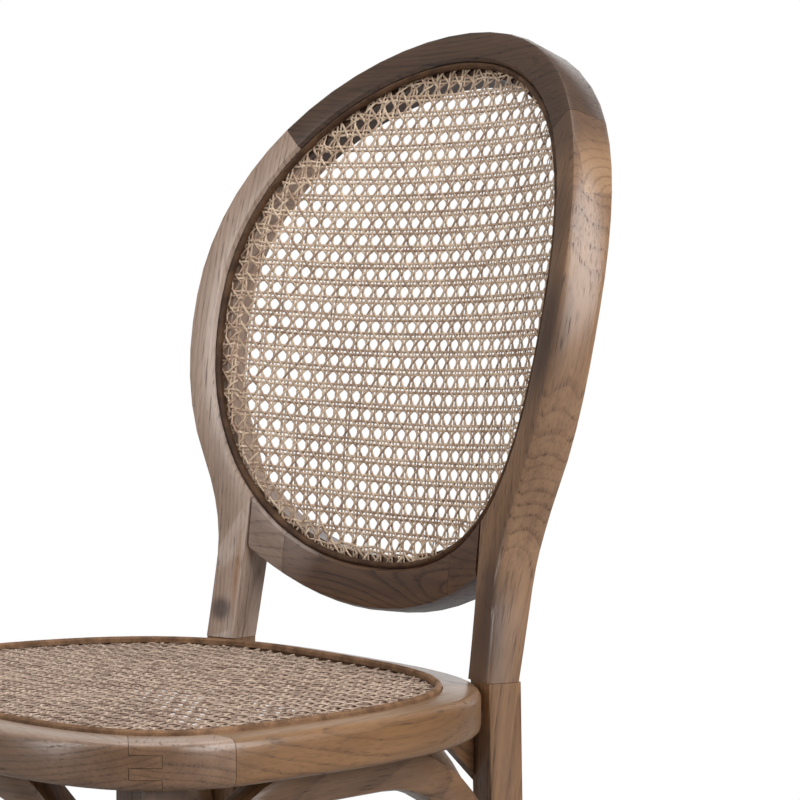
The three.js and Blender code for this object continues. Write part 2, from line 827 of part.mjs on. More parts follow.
// Where the two feet of each arch stand, before they are trimmed to fit the legs
function sideArchEnds(side) {
  const frontFace = new THREE.Vector3(
    side * frontLegSpread, -frontLegAhead + frontLegWidth / 2 - archScribe, 0,
  );
  const rearFace = rearLegPlace(side, seatUnderside)
    .add(legOffset(side, sideArchOut, archScribe - legDepth / 2));
  return [frontFace, rearFace.setZ(0)];
}

function frontArchEnds() {
  const half = frontLegSpread - frontLegWidth / 2 + archScribe;
  return [new THREE.Vector3(-half, -frontLegAhead, 0), new THREE.Vector3(half, -frontLegAhead, 0)];
}

function rearArchEnds() {
  const inner = rearLegPlace(1, seatUnderside).add(legOffset(1, archScribe - postWidth / 2, 0));
  return [new THREE.Vector3(-inner.x, inner.y, 0), new THREE.Vector3(inner.x, inner.y, 0)];
}

// An arch with its three screws: one up into the seat and one into each leg
function addArch(name, ends, flat, foot) {
  const top = seatUnderside - fit;
  const [from, to] = ends;
  const middle = from.clone().add(to).divideScalar(2).setZ(top - archThickness);
  const footHeight = top - (from.distanceTo(to) / 2 - flat) - foot / 2;
  const along = to.clone().sub(from).normalize();
  const shank = archThickness + screwGrip;
  const places = [
    ['top', middle, up],
    ['start', from.clone().addScaledVector(along, archThickness).setZ(footHeight), along.clone().negate()],
    ['end', to.clone().addScaledVector(along, -archThickness).setZ(footHeight), along],
  ].map(([label, place, direction]) => [
    label, place.clone().addScaledVector(direction, screwHeadHeight), direction,
  ]);
  let bar = arch(from, to, flat, foot, top);
  for (const [, side] of sides) {
    bar = bar.subtract(rearLeg(side, fit)).subtract(frontLegBody(side, fit));
  }
  for (const [label, place, direction] of places) {
    const length = shank - screwHeadHeight;
    bar = bar.subtract(screwHole(screwHeadDiameter, screwShankDiameter, length, place, direction));
    holes.push(screwHole(screwShankDiameter, screwShankDiameter, length, place, direction));
    addMesh(
      `${name}_screw_${label}`,
      screw(screwHeadDiameter, screwHeadHeight, screwShankDiameter, length - fit, place, direction),
      steel,
    );
  }
  addMesh(name, toGeometry(bar), oak);
}

const sides = [['left', -1], ['right', 1]];
const holes = []; // screw holes that the seat and the legs also get

// Arches and their screws
for (const [label, side] of sides) {
  addArch(`side_arch_${label}`, sideArchEnds(side), sideArchFlat, sideArchFoot);
}
addArch('front_arch', frontArchEnds(), frontArchFlat, frontArchFoot);
addArch('rear_arch', rearArchEnds(), rearArchFlat, rearArchFoot);

function drilled(solid) {
  return holes.reduce((rest, hole) => rest.subtract(hole), solid);
}

// Rear legs, the bolts that hold the seat to them and the dowels up into the posts
let ring = seatRing();
for (const [label, side] of sides) {
  ring = ring.subtract(rearLeg(side, fit)).subtract(frontTenonHole(side));
  const seatBoltPlace = rearLegPlace(side, seatHeight - boltBelowSeatTop)
    .add(legOffset(side, 0, legDepth / 2 - boltHeadHeight));
  const boltDirection = legOffset(side, 0, -1);
  const boltHole = screwHole(boltHeadDiameter, boltDiameter, boltLength, seatBoltPlace, boltDirection);
  const dowelMiddle = rearLegPlace(side, seatHeight);
  const tilted = onBack(side * postMiddle, 0, 0).sub(onBack(side * postMiddle, -backRise, 0));
  const dowelDirection = new THREE.Vector3(0, tilted.y, tilted.z);
  const dowelHole = toSolid(rod(
    postDowelDiameter + 2 * fit, postDowelLength + 2 * fit, dowelSides, dowelMiddle, dowelDirection,
  ));
  ring = ring.subtract(boltHole);
  const leg = drilled(rearLeg(side, 0)).subtract(boltHole).subtract(dowelHole);
  addMesh(`rear_leg_${label}`, toGeometry(leg), oak);
  addMesh(`rear_brace_${label}`, toGeometry(rearBrace(side)), oak);
  addMesh(
    `seat_bolt_${label}`,
    screw(boltHeadDiameter, boltHeadHeight, boltDiameter, boltLength - fit, seatBoltPlace, boltDirection),
    steel,
  );
  addMesh(
    `post_dowel_${label}`,
    rod(postDowelDiameter, postDowelLength, dowelSides, dowelMiddle, dowelDirection),
    beech,
  );
  const rail = railDowelPlace(side);
  const crest = crestDowelPlace(side);
  const post = backPost(side)
    .subtract(dowelHole)
    .subtract(toSolid(frameDowel(...rail, fit)))
    .subtract(toSolid(frameDowel(...crest, fit)));
  addMesh(`back_post_${label}`, toGeometry(post), oak);
  addMesh(`rail_dowel_${label}`, frameDowel(...rail, 0), beech);
  addMesh(`crest_dowel_${label}`, frameDowel(...crest, 0), beech);
  const wingEnd = side * (postInner - postLedge - fit);
  const wing = toSolid(lowerRailPiece(side * (lowerWingJoint + fit), wingEnd, wingSteps))
    .subtract(toSolid(frameDowel(...rail, fit)));
  addMesh(`lower_rail_wing_${label}`, toGeometry(wing), oak);
  addMesh(`front_leg_${label}`, toGeometry(drilled(frontLeg(side))), oak);
  addMesh(`front_glide_${label}`, glide(frontLegPlace(side, 1)), nylon);
  addMesh(`rear_glide_${label}`, glide(rearLegPlace(side, glideHeight + fit)), nylon);
}

// Crest and lower rail
const crest = sides.reduce(
  (solid, [, side]) => solid.subtract(toSolid(frameDowel(...crestDowelPlace(side), fit))),
  toSolid(crestRail()),
);
addMesh('crest_rail', toGeometry(crest), oak);
addMesh('lower_rail', lowerRailPiece(-lowerWingJoint, lowerWingJoint, railSteps), oak);
addMesh('back_cane', backCane(), caneFinish);
addMesh('back_spline', backSpline(), splineFinish);

// Seat frame, cut into its rails and corner blocks
ring = drilled(ring);
const frontJoint = {
  out: seatHalfWidth - frontJointInset,
  behind: frontJointSetback - seatFrontReach,
  turn: frontJointTurn,
  fingers: true,
};
const sideJoint = { out: seatHalfWidth, behind: -sideJointAhead, turn: 0, fingers: false };
const rearJoint = {
  out: seatHalfWidth - rearJointInset,
  behind: rearJointBehind,
  turn: rearJointTurn,
  fingers: false,
};
let frontRail = ring;
let rearRail = ring;
for (const [label, side] of sides) {
  const corner = ring.intersect(beyondJoint(side, frontJoint, fit)).subtract(beyondJoint(side, sideJoint, 0));
  const rail = ring.intersect(beyondJoint(side, sideJoint, fit)).subtract(beyondJoint(side, rearJoint, 0));
  frontRail = frontRail.subtract(beyondJoint(side, frontJoint, 0));
  rearRail = rearRail.intersect(beyondJoint(side, rearJoint, fit));
  addMesh(`seat_corner_block_${label}`, toGeometry(corner), oak);
  addMesh(`seat_side_rail_${label}`, toGeometry(rail), oak);
}
addMesh('seat_front_rail', toGeometry(frontRail), oak);
addMesh('seat_rear_rail', toGeometry(rearRail), oak);
addMesh('seat_cane', seatCane(), caneFinish);
addMesh('seat_spline', seatSpline(), splineFinish);

// Centre the footprint on the origin
const extent = new THREE.Box3().setFromObject(chair);
chair.position.y = -(extent.min.y + extent.max.y) / 2;

export default chair;
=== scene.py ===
"""The cane chair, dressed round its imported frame.

Every length is in metres. The chair stands on the floor at z = 0, its front faces -Y, and X runs
across it. The frame's own solids keep their shapes and get wood, steel, reed and nylon finishes. The
two cane panels are woven here, strand by strand, in place of the plain sheets that stand for them.
"""

import logging
import math
from collections.abc import Callable, Sequence
from dataclasses import dataclass, replace
from enum import Enum
from typing import ClassVar

import bpy
import numpy as np
from mathutils import Matrix, Vector


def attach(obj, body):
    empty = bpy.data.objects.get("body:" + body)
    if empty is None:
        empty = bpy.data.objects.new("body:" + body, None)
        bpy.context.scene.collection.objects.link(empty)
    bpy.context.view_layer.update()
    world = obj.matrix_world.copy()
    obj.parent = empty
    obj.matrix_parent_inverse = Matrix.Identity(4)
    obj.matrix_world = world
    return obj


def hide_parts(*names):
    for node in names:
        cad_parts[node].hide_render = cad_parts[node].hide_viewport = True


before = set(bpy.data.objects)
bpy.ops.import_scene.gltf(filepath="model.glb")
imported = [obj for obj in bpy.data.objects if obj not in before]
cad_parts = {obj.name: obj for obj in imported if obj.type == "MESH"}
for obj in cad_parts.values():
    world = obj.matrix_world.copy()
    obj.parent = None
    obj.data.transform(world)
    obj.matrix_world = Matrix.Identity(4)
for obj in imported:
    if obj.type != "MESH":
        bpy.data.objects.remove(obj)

LOG = logging.getLogger("cane_chair")
BODY = "root"
WHITE = (1, 1, 1, 1)
TOUCHING = 1e-5  # Points this close count as one.
TUBE_WIDTH = 0.951  # How wide a five-sided tube of radius one half is.
LEVEL_SHARE = 0.6  # Where a paired strand is level again, in halves of the pitch.
WAVE_FLATNESS = 0.6  # Below 1, a slant stays longer at the top and bottom of its wave.
SWAY_WAVES = 4
SWAY_RATE = 23.0  # How far the longest wave of the sway turns in a metre, in radians.
EDGE_RATE = 190.0  # The same of the short wave near the edge.
WAVE_TURN, RUN_TURN, WAVE_SHIFT, CROSS_RATE = 1.7, 2.1, 1.3, 1.1  # These keep the waves out of step.

Colour = tuple[float, float, float]
Point = tuple[float, float, float]
Span = tuple[float, float]
Tones = tuple[Colour, Colour]
Piece = bpy.types.Object
Array = np.ndarray


def tone(red: int, green: int, blue: int) -> Colour:
    """Turns a colour in the usual steps of 0 to 255 into linear light."""
    steps = (step / 255 for step in (red, green, blue))
    return tuple(step / 12.92 if step <= 0.04045 else ((step + 0.055) / 1.055) ** 2.4 for step in steps)


# Shader tools


@dataclass(frozen=True)
class Pattern:
    """A cloudy pattern, whose scale counts its changes in a metre, and what it adds to a finish."""

    scale: Point
    shift: Point = (0, 0, 0)
    detail: float = 2
    roughness: float = 0.5
    weight: float = 0.0


@dataclass(frozen=True)
class Wire:
    """One shader value that takes part in Python arithmetic."""

    recipe: "Recipe"
    socket: bpy.types.NodeSocket

    def __add__(self, other: "Wire | float") -> "Wire":
        """Adds a value."""
        return self.recipe.maths("ADD", self, other)

    def __radd__(self, other: float) -> "Wire":
        """Adds this value to a number."""
        return self.recipe.maths("ADD", other, self)

    def __sub__(self, other: "Wire | float") -> "Wire":
        """Takes a value away."""
        return self.recipe.maths("SUBTRACT", self, other)

    def __rsub__(self, other: float) -> "Wire":
        """Takes this value from a number."""
        return self.recipe.maths("SUBTRACT", other, self)

    def __mul__(self, other: "Wire | float") -> "Wire":
        """Multiplies by a value."""
        return self.recipe.maths("MULTIPLY", self, other)

    def __rmul__(self, other: float) -> "Wire":
        """Multiplies a number by this value."""
        return self.recipe.maths("MULTIPLY", other, self)

    def swing(self) -> "Wire":
        """Gives how far a cloudy value is from its middle."""
        return self - 0.5

    def rise(self, low: float, high: float) -> "Wire":
        """Goes smoothly from 0 to 1 between two values.

        Args:
            low: The value that gives 0.
            high: The value that gives 1.

        Returns:
            The mask.
        """
        sockets = {"Value": self, "From Min": low, "From Max": high}
        return self.recipe.wire("ShaderNodeMapRange", sockets, interpolation_type="SMOOTHSTEP")

    def fall(self, low: float, high: float) -> "Wire":
        """Goes smoothly from 1 to 0 between two values."""
        return 1 - self.rise(low, high)

    def peak(self, top: float, end: float) -> "Wire":
        """Goes smoothly from 0 up to 1 at the top and back to 0 at the end."""
        return self.rise(0.0, top) * self.fall(top, end)


class Recipe:
    """The nodes of one material or of the world."""

    def __init__(self, owner: bpy.types.Material | bpy.types.World) -> None:
        """Starts an empty node tree.

        Args:
            owner: What holds it.
        """
        owner.use_nodes = True
        self.tree = owner.node_tree
        self.tree.nodes.clear()

    def node(self, kind: str, sockets: dict, **settings: str) -> bpy.types.Node:
        """Adds one node.

        Args:
            kind: The node's type.
            sockets: Values or wires for its inputs, by name or number.
            settings: Its own settings, which are set first.

        Returns:
            The node.
        """
        made = self.tree.nodes.new(kind)
        for name, value in settings.items():
            setattr(made, name, value)
        for key, value in sockets.items():
            if isinstance(value, Wire):
                self.tree.links.new(value.socket, made.inputs[key])
            else:
                made.inputs[key].default_value = value
        return made

    def wire(self, kind: str, sockets: dict, output: int | str = 0, **settings: str) -> Wire:
        """Adds one node and returns one of its outputs."""
        return Wire(self, self.node(kind, sockets, **settings).outputs[output])

    def maths(self, operation: str, *terms: Wire | float) -> Wire:
        """Adds one Math node on values and numbers."""
        return self.wire("ShaderNodeMath", dict(enumerate(terms)), operation=operation)

    def mix(self, mask: Wire | float, first: Wire | Colour, second: Wire | Colour) -> Wire:
        """Mixes two colours.

        Args:
            mask: 0 gives the first colour and 1 the second.
            first: The colour below.
            second: The colour above.

        Returns:
            The mixed colour.
        """
        colours = [colour if isinstance(colour, Wire) else (*colour, 1) for colour in (first, second)]
        sockets = {0: mask, 6: colours[0], 7: colours[1]}
        return self.wire("ShaderNodeMix", sockets, output=2, data_type="RGBA")

    def place(self) -> Wire:
        """Gives the point on the chair, in metres."""
        return self.wire("ShaderNodeTexCoord", {}, "Object")

    def seen(self) -> Wire:
        """Gives 1 for rays that the camera sends and 0 for others."""
        return self.wire("ShaderNodeLightPath", {}, "Is Camera Ray")

    def moved(
        self,
        point: Wire,
        shift: Sequence[float],
        scale: Sequence[float] = (1, 1, 1),
        turn: Matrix | None = None,
    ) -> Wire:
        """Moves a pattern's coordinates.

        Args:
            point: The point to start from.
            shift: What is added last.
            scale: What each axis is multiplied by first.
            turn: The rotation between the two.

        Returns:
            The new coordinates.
        """
        angles = tuple(turn.to_euler()) if turn else (0, 0, 0)
        return self.wire("ShaderNodeMapping", {0: point, 1: tuple(shift), 2: angles, 3: tuple(scale)})

    def noise(self, point: Wire, pattern: Pattern) -> Wire:
        """Gives a cloudy value about 0.5.

        Args:
            point: The point it depends on.
            pattern: How the clouds are stretched and how fine they are.

        Returns:
            The value.
        """
        local = self.moved(point, pattern.shift, pattern.scale)
        sockets = {"Vector": local, "Scale": 1, "Detail": pattern.detail, "Roughness": pattern.roughness}
        return self.wire("ShaderNodeTexNoise", sockets)

    def length(self, point: Wire) -> Wire:
        """Gives a point's distance from the origin."""
        return self.wire("ShaderNodeVectorMath", {0: point}, "Value", operation="LENGTH")

    def parts(self, point: Wire) -> tuple[Wire, Wire, Wire]:
        """Splits a point into its three coordinates."""
        made = self.node("ShaderNodeSeparateXYZ", {0: point})
        return tuple(Wire(self, socket) for socket in made.outputs)

    def bump(self, height: Wire, distance: float, strength: float) -> Wire:
        """Turns a height of 0 to 1 into a normal."""
        sockets = {"Strength": strength, "Distance": distance, "Height": height}
        return self.wire("ShaderNodeBump", sockets)

    def surface(self, sockets: dict) -> None:
        """Ends a material with its one surface shader."""
        shader = self.wire("ShaderNodeBsdfPrincipled", sockets)
        self.node("ShaderNodeOutputMaterial", {0: shader})


# Finishes


@dataclass(frozen=True)
class Finish:
    """A material that is made once and shared. Its name is none that the frame gives to its own."""

    name: str

    def material(self) -> bpy.types.Material:
        """Gives the finish's material, made at its first use.

        Returns:
            The material.
        """
        found = bpy.data.materials.get(self.name)
        if found is None:
            found = bpy.data.materials.new(self.name)
            self.fill(Recipe(found))
        return found

    def fill(self, recipe: Recipe) -> None:
        """Writes the material's nodes."""
        raise NotImplementedError


@dataclass(frozen=True)
class StainOrPaintedLight:
    """A soft patch where the board is darker, paler or warmer: a stained spot of the wood, or painted light
    or shade.
    """

    centre: Point
    reach: Point
    colour: Colour
    strength: float = 0.6
    edge: Span = (0.35, 1.1)
    raggedness: float = 1.3

    def laid(self, recipe: Recipe, place: Wire, clouds: Wire, colour: Wire) -> Wire:
        """Lays the patch on a colour.

        Args:
            recipe: The material's nodes.
            place: The point on the chair.
            clouds: A cloudy value that breaks the patch's edge.
            colour: The colour below.

        Returns:
            The colour with the patch on it.
        """
        scale = [1 / reach for reach in self.reach]
        offset = [-middle * share for middle, share in zip(self.centre, scale)]
        distance = recipe.length(recipe.moved(place, offset, scale))
        mask = (distance + clouds.swing() * self.raggedness).fall(*self.edge)
        return recipe.mix(mask * self.strength, colour, self.colour)


@dataclass(frozen=True)
class Board:
    """How a board was sawn: the way of its fibres, and where its centre was beside and along the log."""

    fibres: Point = (0, 0, 1)
    pith: Span = (0.05, 0.03)
    slide: float = 0.0
    centre: Point = (0, 0, 0)

    def turn(self) -> Matrix:
        """Gives the rotation that lays the fibres along Z."""
        along = Vector(self.fibres).normalized()
        return along.rotation_difference(Vector((0, 0, 1))).to_matrix()

    def shift(self) -> Vector:
        """Gives the offset that puts the middle of the log beside the board."""
        return -(self.turn() @ Vector(self.centre)) + Vector((*self.pith, self.slide))


@dataclass(frozen=True)
class EndGrain:
    """A patch of a side face where the ends of the neighbour's fibres show, with their rings as arcs."""

    low: Point
    top: float
    pith: Point
    lean: float = 0.3
    rim: float = 0.2135
    middle: float = 0.7196
    stretch: float = 1.03
    soft: float = 0.0008
    fade: float = 0.04
    ring_width: float = 0.0064
    tones: Tones = (tone(158, 124, 92), tone(120, 88, 62))
    blur: Pattern = Pattern((60, 60, 60))
    dots: Pattern = Pattern((1500, 1500, 1500), detail=1)

    def laid(self, recipe: Recipe, place: Wire, colour: Wire) -> Wire:
        """Lays the patch on a colour.

        Args:
            recipe: The material's nodes.
            place: The point on the chair.
            colour: The colour below.

        Returns:
            The colour with the patch on it.
        """
        across, behind, high = recipe.parts(place)
        behind = behind - self.lean * (high - self.low[2])
        level = (high - self.middle) * self.stretch
        radius = recipe.maths("SQRT", across * across + level * level)
        mask = radius.rise(self.rim, self.rim + self.soft) * high.fall(self.top - self.fade, self.top)
        for value, low in zip((across, behind, high), self.low):
            mask = mask * value.rise(low, low + self.soft)
        local = recipe.moved(place, [-middle for middle in self.pith], (0, 1, 1))
        blur = recipe.noise(place, self.blur)
        phase = recipe.maths("FRACT", recipe.length(local) * (1 / self.ring_width) + 0.5 * blur)
        dots = recipe.noise(place, self.dots).rise(0.52, 0.7)
        grain = 0.4 * phase.peak(top=0.08, end=0.4) + 0.35 * dots + 0.9 * (blur - 0.35)
        return recipe.mix(mask, colour, recipe.mix(grain.rise(0.0, 0.9), *self.tones))


@dataclass(frozen=True)
class WoodFinish(Finish):
    """Stained open-grain hardwood under a satin lacquer."""

    pale: Colour
    deep: Colour
    board: Board = Board()
    ring_width: float = 0.0034
    ring_strength: float = 0.36
    pore_strength: float = 0.55
    wander: float = 0.016
    stains_and_painted_light: tuple[StainOrPaintedLight, ...] = ()
    end_grain: EndGrain | None = None
    gloss: float = 0.34
    unevenness: float = 1.6
    late_wood: Span = (0.06, 0.42)
    pore_edge: Span = (0.56, 0.66)
    pore_shade: float = 0.3
    grain_range: Span = (-0.53, 0.72)
    coat: float = 0.5

    drift: ClassVar[Pattern] = Pattern((9, 9, 2.2), (3, 7, 1), detail=3)
    spread: ClassVar[Pattern] = Pattern((110, 1, 1), detail=1)
    fibres: ClassVar[Pattern] = Pattern((1000, 1000, 16), roughness=0.6, weight=0.55)
    clouds: ClassVar[Pattern] = Pattern((24, 24, 6), (9, 4, 0), detail=3, weight=0.9)
    streaks: ClassVar[Pattern] = Pattern((150, 150, 3.4), (2, 6, 4), weight=0.75)
    patches: ClassVar[Pattern] = Pattern((5, 5, 5), (1, 2, 3), detail=1, weight=0.6)
    pores: ClassVar[Pattern] = Pattern((760, 760, 48), (0, 5, 2), detail=1)

    def fill(self, recipe: Recipe) -> None:
        """Writes growth rings, fibres, pores, patches, stained spots, painted highlights and shade, and the
        lacquer.

        Args:
            recipe: The material's nodes.
        """
        place = recipe.place()
        log = recipe.moved(place, self.board.shift(), turn=self.board.turn())
        across, deep, _ = recipe.parts(log)
        radius = recipe.maths("SQRT", across * across + deep * deep)
        radius = radius + recipe.noise(log, self.drift).swing() * self.wander
        spread = recipe.noise(recipe.wire("ShaderNodeCombineXYZ", {0: radius}), self.spread)
        phase = recipe.maths("FRACT", radius * (1 / self.ring_width) + spread * self.unevenness)
        line = phase.peak(*self.late_wood)
        fibres = recipe.noise(log, self.fibres)
        clouds = recipe.noise(log, self.clouds)
        streaks = recipe.noise(log, self.streaks)
        patches = recipe.noise(place, self.patches)
        pores = recipe.noise(log, self.pores).rise(*self.pore_edge) * (0.4 + 0.6 * line)

        grain = self.ring_strength * line * (0.35 + 1.3 * spread)
        grain = grain + self.fibres.weight * fibres.swing() + self.clouds.weight * clouds.swing()
        grain = grain + self.streaks.weight * streaks.swing() + self.patches.weight * patches.swing()
        colour = recipe.mix(grain.rise(*self.grain_range), self.pale, self.deep)
        # Lays the board's stained spots and its painted highlights and shade.
        for tone_patch in self.stains_and_painted_light:
            colour = tone_patch.laid(recipe, place, clouds, colour)
        darkened = tuple(self.pore_shade * value for value in self.deep)
        colour = recipe.mix(pores * self.pore_strength, colour, darkened)
        if self.end_grain:
            colour = self.end_grain.laid(recipe, place, colour)
        height = 1 - 0.8 * pores - 0.15 * line
        recipe.surface({
            "Base Color": colour,
            "Roughness": self.gloss + 0.2 * pores + 0.12 * clouds.swing() + 0.1 * fibres.swing(),
            "Normal": recipe.bump(height, distance=0.00016, strength=0.6),
            "Coat Weight": self.coat - 0.45 * pores,
            "Coat Roughness": 0.24,
            "Coat IOR": 1.5,
        })


class Run(Enum):
    """The four ways in which strands run through the cane."""

    UPRIGHTS = "uprights"
    ROWS = "rows"
    RISING = "rising_slants"
    FALLING = "falling_slants"

    def turn(self) -> float:
        """Gives the angle that lays a strand made along Y this way."""
        quarters = {Run.UPRIGHTS: 0.0, Run.ROWS: -1.0, Run.RISING: -0.5, Run.FALLING: -1.5}
        return quarters[self] * math.pi / 2

    def straight(self) -> bool:
        """Tells whether the strands run in pairs, upright or across."""
        return self in (Run.UPRIGHTS, Run.ROWS)

    def direction(self) -> Span:
        """Gives the way the strands run, as across and along."""
        return -math.sin(self.turn()), math.cos(self.turn())


@dataclass(frozen=True)
class CaneFinish(Finish):
    """The shiny outer bark of rattan, split into strands."""

    pale: Colour
    deep: Colour
    along: Point
    beside: Point
    dark: Colour = tone(78, 52, 38)

    tint: ClassVar[Pattern] = Pattern((260, 60, 9), detail=1)
    streak: ClassVar[Pattern] = Pattern((1300, 1300, 180), (4, 1, 7), detail=1)
    fleck: ClassVar[Pattern] = Pattern((420, 420, 130), (1, 8, 3), detail=1)

    def fill(self, recipe: Recipe) -> None:
        """Writes strands that differ from each other, with nodes, streaks and dark flecks.

        Args:
            recipe: The material's nodes.
        """
        along = Vector(self.along).normalized()
        side = Vector(self.beside).normalized()
        turn = Matrix((side, along.cross(side), along))
        strand = recipe.moved(recipe.place(), (0, 0, 0), turn=turn)
        streak = recipe.noise(strand, self.streak)
        fleck = recipe.noise(strand, self.fleck).rise(0.67, 0.75)
        blend = (1.8 * recipe.noise(strand, self.tint).swing() + 1.3 * streak.swing()).rise(-0.45, 0.45)
        colour = recipe.mix(blend, self.pale, self.deep)
        recipe.surface({
            "Base Color": recipe.mix(fleck * 0.7, colour, self.dark),
            "Roughness": 0.42 + 0.2 * streak.swing(),
            "Normal": recipe.bump(streak, distance=0.00006, strength=0.5),
            "Coat Weight": 0.12,
            "Coat Roughness": 0.3,
        })


@dataclass(frozen=True)
class MottledFinish(Finish):
    """Two mottled tones under a fine relief."""

    pale: Colour
    deep: Colour
    clouds: Pattern
    relief: Pattern
    edge: Span
    gloss: float
    depth: float
    strength: float = 0.5
    specks: float = 0.0
    cover: float = 1.0
    dulling: float = 0.0
    specular: float = 0.5
    metallic: float = 0.0

    def fill(self, recipe: Recipe) -> None:
        """Writes the mottling, the relief and the shine that goes with them.

        Args:
            recipe: The material's nodes.
        """
        place = recipe.place()
        clouds, relief = recipe.noise(place, self.clouds), recipe.noise(place, self.relief)
        mask = (clouds + self.specks * relief.swing()).rise(*self.edge)
        rough = self.clouds.weight * clouds.swing() + self.relief.weight * relief.swing()
        recipe.surface({
            "Base Color": recipe.mix(mask * self.cover, self.pale, self.deep),
            "Metallic": self.metallic,
            "Roughness": self.gloss + rough + self.dulling * mask,
            "Specular IOR Level": self.specular,
            "Normal": recipe.bump(relief, self.depth, self.strength),
        })


# Modelling tools


class Bench:
    """Blender's modelling tools, used on one piece at a time."""

    @staticmethod
    def clear() -> None:
        """Leaves edit mode and deselects every object."""
        if bpy.context.mode != "OBJECT":
            bpy.ops.object.mode_set(mode="OBJECT")
        bpy.ops.object.select_all(action="DESELECT")

    @staticmethod
    def hold(*pieces: Piece) -> None:
        """Selects only these pieces and makes the first one active.

        Args:
            pieces: The pieces.
        """
        Bench.clear()
        for piece in pieces:
            piece.select_set(True)
        bpy.context.view_layer.objects.active = pieces[0]

    @staticmethod
    def pick(piece: Piece, part: str, chosen: Array) -> None:
        """Selects vertices, edges or faces of a piece and opens it for editing.

        Args:
            piece: The piece.
            part: VERT, EDGE or FACE.
            chosen: One truth value for each of them.
        """
        Bench.hold(piece)
        bpy.ops.object.mode_set(mode="EDIT")
        bpy.ops.mesh.select_mode(type=part)
        bpy.ops.mesh.select_all(action="DESELECT")
        bpy.ops.object.mode_set(mode="OBJECT")
        mesh = piece.data
        group = {"VERT": mesh.vertices, "EDGE": mesh.edges, "FACE": mesh.polygons}[part]
        group.foreach_set("select", chosen.astype(bool))
        bpy.ops.object.mode_set(mode="EDIT")

    @staticmethod
    def alter(piece: Piece, tool: Callable[..., set[str]], **settings: object) -> None:
        """Uses an edit tool on all of a piece.

        Args:
            piece: The piece.
            tool: The tool.
            settings: What the tool is told.
        """
        Bench.hold(piece)
        bpy.ops.object.mode_set(mode="EDIT")
        bpy.ops.mesh.select_all(action="SELECT")
        tool(**settings)
        bpy.ops.object.mode_set(mode="OBJECT")

    @staticmethod
    def points(piece: Piece) -> Array:
        """Gives the places of a piece's vertices.

        Args:
            piece: The piece.

        Returns:
            One place a row.
        """
        places = np.empty(len(piece.data.vertices) * 3)
        piece.data.vertices.foreach_get("co", places)
        return places.reshape(-1, 3)

    @staticmethod
    def settle(piece: Piece, places: Array) -> None:
        """Moves a piece's vertices to new places."""
        piece.data.vertices.foreach_set("co", places.astype(np.float32).ravel())
        piece.data.update()

    @staticmethod
    def smooth(piece: Piece) -> None:
        """Shades all faces of a piece smoothly."""
        piece.data.polygons.foreach_set("use_smooth", np.ones(len(piece.data.polygons), bool))

    @staticmethod
    def repeat(piece: Piece, count: int, step: Point, merge: bool) -> None:
        """Repeats a piece in a straight line, about where it is.

        Args:
            piece: The piece, whose mesh is multiplied.
            count: How many there are afterwards.
            step: The way from one to the next.
            merge: Whether neighbours' touching ends are welded.
        """
        Bench.hold(piece)
        array = piece.modifiers.new("repeat", "ARRAY")
        array.use_relative_offset = False
        array.use_constant_offset = True
        array.constant_offset_displace = step
        array.count = count
        array.use_merge_vertices = merge
        array.merge_threshold = TOUCHING
        bpy.ops.object.modifier_apply(modifier=array.name)
        Bench.alter(piece, bpy.ops.transform.translate, value=[-0.5 * (count - 1) * part for part in step])


# Woven panels


